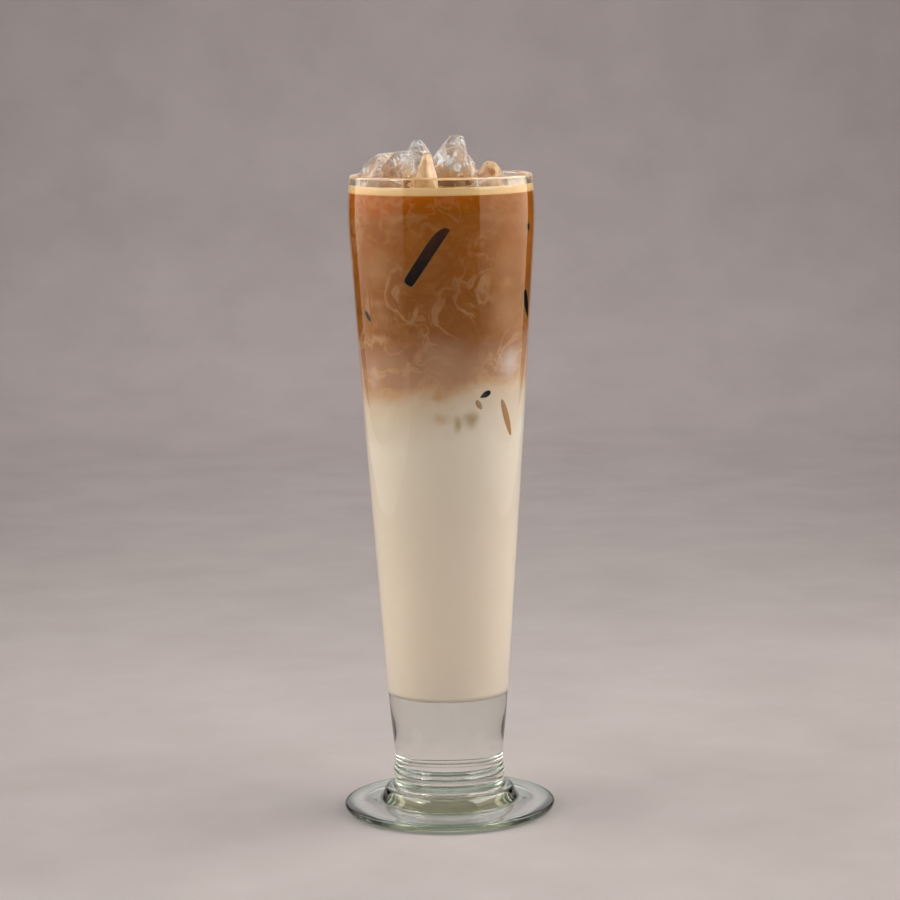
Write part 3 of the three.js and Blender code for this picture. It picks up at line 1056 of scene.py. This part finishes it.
@dataclass
class IceLump:
    """One lump of ice that stands out of the foam: its solid, chipped flat and rounded by melting."""

    node: str
    finish: Material
    chips: int = 14
    chip_depths: Span = (0.3, 1.5)
    chip_rises: Span = (-0.2, 0.9)
    first_weld: float = 0.01
    last_weld: float = 0.15
    flat_deg: float = 2.0
    sharp_deg: float = 35.0
    edge_round: float = 0.35
    edge_steps: int = 2
    cuts: int = 2
    dimple: float = 0.12
    dimple_size: float = 3.2
    ripple: float = 0.05
    ripple_size: float = 1.1
    pocket_depth: float = 0.15
    cracks: int = 14
    crack_depths: Span = (1.0, 3.2)
    crack_thickness: float = 0.07
    crack_low: float = 232.0
    crack_sides: int = 12
    crack_reach: float = 0.8
    crack_uneven: Span = (0.6, 1.0)
    crack_narrow: Span = (0.25, 0.8)

    def chip(self, shape: BMesh) -> None:
        """Cuts flat chips off the lump, each facing another way.

        Args:
            shape: The lump, in metres.
        """
        source = random.Random(self.node)
        for _ in range(self.chips):
            turn = source.uniform(0, 2 * math.pi)
            rise = source.uniform(*self.chip_rises)
            facing = Vector((math.cos(turn), math.sin(turn), rise)).normalized()
            reach = max(facing.dot(vertex.co) for vertex in shape.verts)
            place = facing * (reach - source.uniform(*self.chip_depths) * MM)
            everything = shape.verts[:] + shape.edges[:] + shape.faces[:]
            cut = bmesh.ops.bisect_plane(shape, geom=everything, dist=1e-7, plane_co=place,
                                         plane_no=facing, clear_outer=True)
            rim = [part for part in cut["geom_cut"] if isinstance(part, BMEdge)]
            bmesh.ops.contextual_create(shape, geom=rim)

    def shape(self) -> BMesh:
        """Makes the lump's skin: chipped, its edges rounded, its faces dimpled by melting."""
        shape = bmesh.new()
        shape.from_mesh(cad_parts[self.node].data)
        bmesh.ops.remove_doubles(shape, verts=shape.verts, dist=self.first_weld * MM)
        self.chip(shape)
        bmesh.ops.remove_doubles(shape, verts=shape.verts, dist=self.last_weld * MM)
        bmesh.ops.dissolve_limit(shape, angle_limit=math.radians(self.flat_deg), verts=shape.verts,
                                 edges=shape.edges)
        bmesh.ops.bevel(shape, geom=shape.edges[:], offset=self.edge_round * MM, segments=self.edge_steps,
                        profile=0.5, affect="EDGES", clamp_overlap=True)
        bmesh.ops.triangulate(shape, faces=shape.faces)
        bmesh.ops.subdivide_edges(shape, edges=shape.edges, cuts=self.cuts, use_grid_fill=True)
        bmesh.ops.recalc_face_normals(shape, faces=shape.faces)
        shape.normal_update()
        for vertex in shape.verts:
            spot = vertex.co / MM
            shift = self.dimple * noise.noise(spot / self.dimple_size)
            shift += self.ripple * noise.noise(spot / self.ripple_size)
            vertex.co += vertex.normal * shift * MM
        return shape

    def crack(self, shape: BMesh, parts: MeshParts) -> None:
        """Adds the lump's cracks: thin uneven lenses under its skin, none deeper than it is wide.

        Args:
            shape: The lump's finished skin.
            parts: The mesh that the cracks join.
        """
        source = random.Random(self.node + " cracks")
        starts = [vertex for vertex in shape.verts if vertex.co.z > self.crack_low * MM]
        for start in source.choices(starts, k=self.cracks if starts else 0):
            depth = source.uniform(*self.crack_depths)
            middle = start.co / MM - start.normal * depth
            facing = Vector([source.uniform(-1, 1) for _ in range(3)]).normalized()
            side = facing.orthogonal().normalized()
            other = facing.cross(side) * source.uniform(*self.crack_narrow)
            count = self.crack_sides
            ring = []
            for i in range(count):
                turn = 2 * math.pi * i / count
                reach = self.crack_reach * depth * source.uniform(*self.crack_uneven)
                ring.append(middle + (side * math.cos(turn) + other * math.sin(turn)) * reach)
            tips = [middle + facing * self.crack_thickness, middle - facing * self.crack_thickness]
            faces = [(i, (i + 1) % count, count) for i in range(count)]
            faces += [((i + 1) % count, i, count + 1) for i in range(count)]
            parts.add([tuple(point) for point in ring + tips], faces)

    def build(self, pockets: BMesh, cracks: MeshParts) -> Object:
        """Makes the lump, and adds a slightly smaller copy to what is cut out of the foam.

        Args:
            pockets: The shapes that the foam is cut by.
            cracks: The mesh that the lump's cracks join.

        Returns:
            The dressed lump.
        """
        shape = self.shape()
        self.crack(shape, cracks)
        mesh = bpy.data.meshes.new(self.node + "_melted")
        shape.to_mesh(mesh)
        shape.normal_update()
        for vertex in shape.verts:
            vertex.co -= vertex.normal * self.pocket_depth * MM
        hollow = bpy.data.meshes.new(self.node + "_pocket")
        shape.to_mesh(hollow)
        pockets.from_mesh(hollow)
        bpy.data.meshes.remove(hollow)
        shape.free()
        piece = place_mesh(self.node + "_melted", mesh, self.finish, self.sharp_deg)
        return dress(piece, Slot.ICE, self.node)


@dataclass
class IceMark:
    """Where sunk ice touches the glass: a place on the wall, a size, a slant and how its ends close.

    An end of 1 is a point, 2 is round and more is blunt. A skew of 1 narrows the upper end from the left.
    """

    bearing_deg: float
    height: float
    length: float
    width: float
    slant_deg: float = 0.0
    low_end: float = 4.0
    high_end: float = 4.0
    skew: float = 0.0


@dataclass
class SunkIceMarks:
    """The edges of sunk ice that touch the inside of the wall, all of one tone."""

    name: str
    glass: FootedGlass
    finish: SunkIce
    marks: list[IceMark]
    proud: float = 0.4
    depth: float = 1.4
    squareness: float = 0.4
    steps_along: int = 24
    steps_across: int = 10

    def add_mark(self, parts: MeshParts, mark: IceMark) -> None:
        """Adds one mark: a slim pad that follows the wall, its middle a little into the glass.

        Args:
            parts: The mesh that it joins.
            mark: Its place and size.
        """
        slant = math.radians(mark.slant_deg)
        sections = []
        for i in range(self.steps_along + 1):
            along = -1 + 2 * i / self.steps_along
            power = mark.high_end if along > 0 else mark.low_end
            fullness = max(0.0, 1 - abs(along) ** power) ** (1 / min(power, 2))
            half = mark.width / 2 * fullness
            shift = mark.skew * (mark.width / 2 - half) if along > 0 else 0.0
            ring = []
            for k in range(2 * self.steps_across):
                turn = math.pi * k / self.steps_across
                across = half * math.cos(turn) + shift
                lift = math.copysign(abs(math.sin(turn)) ** self.squareness, math.sin(turn))
                reach = (self.proud if lift > 0 else self.depth) * fullness ** self.squareness * lift
                right = mark.length / 2 * along * math.sin(slant) + across * math.cos(slant)
                up = mark.length / 2 * along * math.cos(slant) - across * math.sin(slant)
                z = mark.height + up
                wall = self.glass.inner_radius(z)
                bearing = math.radians(mark.bearing_deg) + right / wall
                radius = wall + reach
                ring.append((radius * math.sin(bearing), -radius * math.cos(bearing), z))
            sections.append(np.array(ring))
        pad = rings_mesh(sections, capped=False)
        parts.add(pad.vertices, pad.faces)

    def build(self) -> Object:
        """Makes all the marks as one piece."""
        parts = MeshParts()
        for mark in self.marks:
            self.add_mark(parts, mark)
        return dress(parts.to_object(self.name, self.finish.build()), Slot.ICE)


def sunk_ice(glass: FootedGlass) -> list[SunkIceMarks]:
    """Lists the edges of sunk ice that show through the wall.

    Args:
        glass: The glass whose wall they touch.

    Returns:
        Dark edges in the coffee, brown ones at the border and in the milk, and the rims round the dark ones.
    """
    dark = [
        IceMark(-10.2, 207.5, 26.4, 4.2, 34, 14, 3.5, 1), IceMark(74, 188.3, 12.5, 4.2, -28, 1.3, 3),
        IceMark(-60.4, 185.2, 5, 1.9, -45, 2, 2), IceMark(31.2, 157.3, 4.8, 2.3, 65, 1.1, 2.4),
        IceMark(70, 216.2, 2.8, 3.4, 0, 2, 2), IceMark(140, 203, 16, 3.6, -28, 5, 2),
        IceMark(-135, 190, 9, 2.6, 40, 3, 1.5),
    ]
    brown = [
        IceMark(26.2, 153.8, 4, 2, -32, 1.6, 2), IceMark(52.5, 148.1, 15.6, 2.9, -23, 1.7, 1.9),
        IceMark(-160, 149, 8, 2.4, 30, 2, 1.6),
    ]
    border, wider = 170.0, 0.8
    rims = [replace(mark, length=mark.length + wider, width=mark.width + wider)
            for mark in dark if mark.height > border]
    milky = SunkIce("brown_sunk_ice", "#b48657", "#a98c70", 149.0, 153.0)
    return [
        SunkIceMarks("sunk_ice_in_coffee", glass, SunkIce("dark_sunk_ice", "#0a0502", "#42200f"), dark),
        SunkIceMarks("sunk_ice_in_milk", glass, milky, brown),
        SunkIceMarks("sunk_ice_rims", glass, SunkIce("pale_ice_rim", "#8f6a3c", "#8f6028"), rims, proud=0.3),
    ]


@dataclass(frozen=True)
class SoftBox:
    """A soft light beside the glass: its side, edges and brightness, and that of the skirt under it."""

    name: str
    side: int
    low: float
    high: float
    radiance: float
    skirt: float


@dataclass
class Studio:
    """A plain floor and backdrop, tall soft boxes on both sides of the glass, and the camera."""

    floor_half: float = 4000.0
    floor_gap: float = 0.4
    backdrop_start: float = 950.0
    backdrop_radius: float = 400.0
    backdrop_height: float = 2600.0
    backdrop_steps: int = 16
    box_distance: float = 450.0
    box_front: float = -420.0
    box_back: float = 391.0
    boxes: tuple[SoftBox, ...] = (
        SoftBox("soft_box_left", -1, 290.0, 1000.0, 5.05, 1.2),
        SoftBox("soft_box_right", 1, 290.0, 1000.0, 6.2, 1.65),
    )
    skirt_low: float = 40.0
    skirt_steps: int = 9
    skirt_fade: float = 0.6
    skirt_tone: str = "#ffebcf"
    back_card_distance: float = 1250.0
    back_card_width: float = 1000.0
    back_card_heights: Span = (250.0, 750.0)
    back_card_radiance: float = 0.55
    lamp_place: tuple[float, float, float] = (-868.0, -461.0, 688.0)
    lamp_size: float = 190.0
    lamp_radiance: float = 22.0
    lamp_tone: str = "#fff0cc"
    side_flag_height: float = 62.0
    side_card_height: float = 40.0
    front_flag_distance: float = 500.0
    front_flag_height: float = 110.0
    wing_back: float = 1000.0
    wing_low: float = 45.0
    wing_high: float = 260.0
    card_high: float = 700.0
    flag_gap: float = 4.0
    room_low: float = 0.05
    room_high: float = 0.6
    room_span: Span = (0.02, 0.32)
    room_slope: float = 0.22
    camera_distance: float = 1060.0
    camera_height: float = 283.0
    camera_right: float = 1.92
    camera_pitch_deg: float = 8.0
    camera_roll_deg: float = 0.807
    focal_pixels: float = 2921.6
    sensor: float = 36.0

    def build_floor(self) -> None:
        """Lays the floor and the backdrop that curves up from it."""
        board = PaintedBoard("painted_floor", ("#8a827f", "#908885"), ("#afa4a2", "#b6aba8")).build()
        profile = [(-self.floor_half, -self.floor_gap), (self.backdrop_start, -self.floor_gap)]
        for i in range(1, self.backdrop_steps + 1):
            turn = math.pi / 2 * i / self.backdrop_steps
            profile.append((self.backdrop_start + self.backdrop_radius * math.sin(turn),
                            self.backdrop_radius * (1 - math.cos(turn))))
        profile.append((self.backdrop_start + self.backdrop_radius, self.backdrop_height))
        parts = MeshParts()
        for y, z in profile:
            parts.vertices += [(-self.floor_half, y, z), (self.floor_half, y, z)]
        parts.faces = [(2 * i, 2 * i + 1, 2 * i + 3, 2 * i + 2) for i in range(len(profile) - 1)]
        parts.to_object("floor", board)

    def build_lights(self) -> None:
        """Hangs the soft boxes and the lamp, and sets the room's light."""
        middle = (self.box_front + self.box_back) / 2
        width = self.box_back - self.box_front
        for box in self.boxes:
            place = (box.side * self.box_distance, middle)
            self.build_panel(box.name, place, 90 * box.side, width, (box.low, box.high), box.radiance)
            step = (box.low - self.skirt_low) / self.skirt_steps
            for i in range(self.skirt_steps):
                low = self.skirt_low + i * step
                share = min(1.0, (i + 0.5) / (self.skirt_fade * self.skirt_steps))
                self.build_panel(f"{box.name}_skirt_{i}", place, 90 * box.side, width, (low, low + step),
                                 box.skirt * share, self.skirt_tone)
        self.build_panel("back_card", (0.0, self.back_card_distance), 180, self.back_card_width,
                         self.back_card_heights, self.back_card_radiance)
        self.build_lamp()
        self.build_room()

    def build_panel(self, name: str, place: Span, turn_deg: float, width: float,
                    heights: Span, radiance: float, tone: str = "#ffffff") -> None:
        """Hangs one evenly bright upright panel.

        Args:
            name: The light's name.
            place: Its middle as X and Y.
            turn_deg: Which way it faces, 0 for +Y, turning left.
            width: Its width.
            heights: Its lower and upper edge.
            radiance: Its brightness.
            tone: Its colour.
        """
        low, high = heights
        light = bpy.data.lights.new(name, "AREA")
        light.shape = "RECTANGLE"
        light.size = width * MM
        light.size_y = (high - low) * MM
        light.energy = radiance * math.pi * light.size * light.size_y
        light.color = linear(tone)[:3]
        panel = into_scene(name, light)
        panel.location = Vector((*place, (low + high) / 2)) * MM
        panel.rotation_euler = (math.radians(90), 0.0, math.radians(turn_deg))
        panel.visible_camera = False

    def build_lamp(self) -> None:
        """Hangs a small warm lamp left of the camera, which only shows as glints on wet ice and glass."""
        light = bpy.data.lights.new("warm_lamp", "AREA")
        light.size = self.lamp_size * MM
        light.energy = self.lamp_radiance * math.pi * light.size ** 2
        light.color = linear(self.lamp_tone)[:3]
        lamp = into_scene("warm_lamp", light)
        lamp.location = Vector(self.lamp_place) * MM
        lamp.rotation_euler = lamp.location.to_track_quat("Z", "Y").to_euler()
        lamp.visible_camera = False
        lamp.visible_diffuse = False

    def build_room(self) -> None:
        """Sets the room's light, dim low down in front and bright above."""
        nodes = Nodes(bpy.data.worlds.new("room"))
        bpy.context.scene.world = nodes.owner
        slope = nodes.add("VectorMath", {
            "operation": "DOT_PRODUCT", 0: nodes.point.outputs["Generated"], 1: (0.0, self.room_slope, 1.0),
        })
        greys = [(grey, grey, grey, 1.0) for grey in (self.room_low, self.room_high)]
        tone = nodes.add("ValToRGB", {"Fac": slope, "stops": list(zip(self.room_span, greys))})
        nodes.add("OutputWorld", {"Surface": nodes.add("Background", {"Color": tone})})

    def build_flags(self) -> None:
        """Stands cloth and card round the table, which draw the glass's dark lines and pale edges."""
        cloth = PaintedBoard("black_cloth", ("#141313", "#1c1b1b")).build()
        card = PaintedBoard("pale_card", ("#d8d4d0", "#e0dcd8")).build()
        reach = self.box_distance + self.flag_gap
        flags, cards, wings = MeshParts(), MeshParts(), MeshParts()
        front = -self.front_flag_distance
        self.add_strip(flags, (-reach, front), (reach, front), 0.0, self.front_flag_height)
        for side in (-1, 1):
            x = side * reach
            self.add_strip(flags, (x, self.box_front), (x, self.box_back), 0.0, self.side_flag_height)
            self.add_strip(cards, (x, self.box_front), (x, self.box_back), 0.0, self.side_card_height)
            near, far = (x, self.box_back + self.flag_gap), (x, self.wing_back)
            self.add_strip(wings, near, far, self.wing_low, self.wing_high)
            self.add_strip(cards, near, far, 0.0, self.wing_low)
            self.add_strip(cards, near, far, self.wing_high, self.card_high)
        covers = (("table_edge_flags", flags, cloth, True), ("table_edge_cards", cards, card, False),
                  ("backdrop_wings", wings, cloth, False))
        for name, shape, finish, through in covers:
            cover = shape.to_object(name, finish)
            cover.visible_camera = cover.visible_diffuse = cover.visible_shadow = False
            cover.visible_transmission = through
            cover.visible_glossy = not through

    def add_strip(self, parts: MeshParts, start: tuple, end: tuple, low: float, high: float) -> None:
        """Adds an upright strip.

        Args:
            parts: The mesh that it joins.
            start: One end as X and Y.
            end: The other end.
            low: Its lower edge.
            high: Its upper edge.
        """
        parts.add([(*start, low), (*end, low), (*end, high), (*start, high)], [(0, 1, 2, 3)])

    def build_camera(self) -> None:
        """Sets the camera up at the photograph's place."""
        data = bpy.data.cameras.new("camera")
        data.sensor_width = self.sensor
        data.lens = self.focal_pixels * self.sensor / IMAGE_PIXELS
        camera = into_scene("camera", data)
        camera.location = (self.camera_right * MM, -self.camera_distance * MM, self.camera_height * MM)
        tilt = Euler((math.radians(90 - self.camera_pitch_deg), 0.0, 0.0)).to_matrix().to_4x4()
        roll = Matrix.Rotation(math.radians(-self.camera_roll_deg), 4, "Z")
        camera.rotation_euler = (tilt @ roll).to_euler()
        bpy.context.scene.camera = camera

    def build(self) -> None:
        """Sets up floor, lights, camera and the plain tone curve."""
        self.build_floor()
        self.build_lights()
        self.build_flags()
        self.build_camera()
        bpy.context.scene.view_settings.view_transform = "Standard"


def main() -> None:
    """Builds the pieces in order and reports them."""
    logging.basicConfig(level=logging.INFO, format="%(name)s %(message)s")
    glass = FootedGlass()
    glass.build()
    drink = Drink(glass)
    liquid = LatteLiquid().build()
    drink.build_milk(liquid)
    drink.build_coffee(liquid, SunkIce("coffee_under_ice", "#7a5432", "#9c754c", 226.0, 232.0).build())
    # The tan near the foam is partly coffee stain, partly painted reflection of the foam.
    clear = MeltingIce("clear_ice", "#e2bf8e", 240.0, 231.0).build()
    coated = FoamCoatedIce("foam_coated_ice", "#dab67e", "#b78d56", 0.6).build()
    brown = FoamCoatedIce("coffee_stained_ice", "#d9b98c", "#a05a22", 0.55).build()
    pockets, cracks = bmesh.new(), MeshParts()
    for node in ("ice_left", "ice_dome", "ice_peak", "ice_back_left", "ice_back", "ice_back_right"):
        IceLump(node, clear).build(pockets, cracks)
    IceLump("ice_coated", coated, chips=6, edge_round=1.2, cracks=0).build(pockets, cracks)
    IceLump("ice_right", brown).build(pockets, cracks)
    dress(cracks.to_object("ice_cracks", IceCrack().build()), Slot.ICE)
    Foam(drink).build(pockets)
    pockets.free()
    for piece in sunk_ice(glass):
        piece.build()
    Studio().build()


if __name__ == "__main__":
    main()
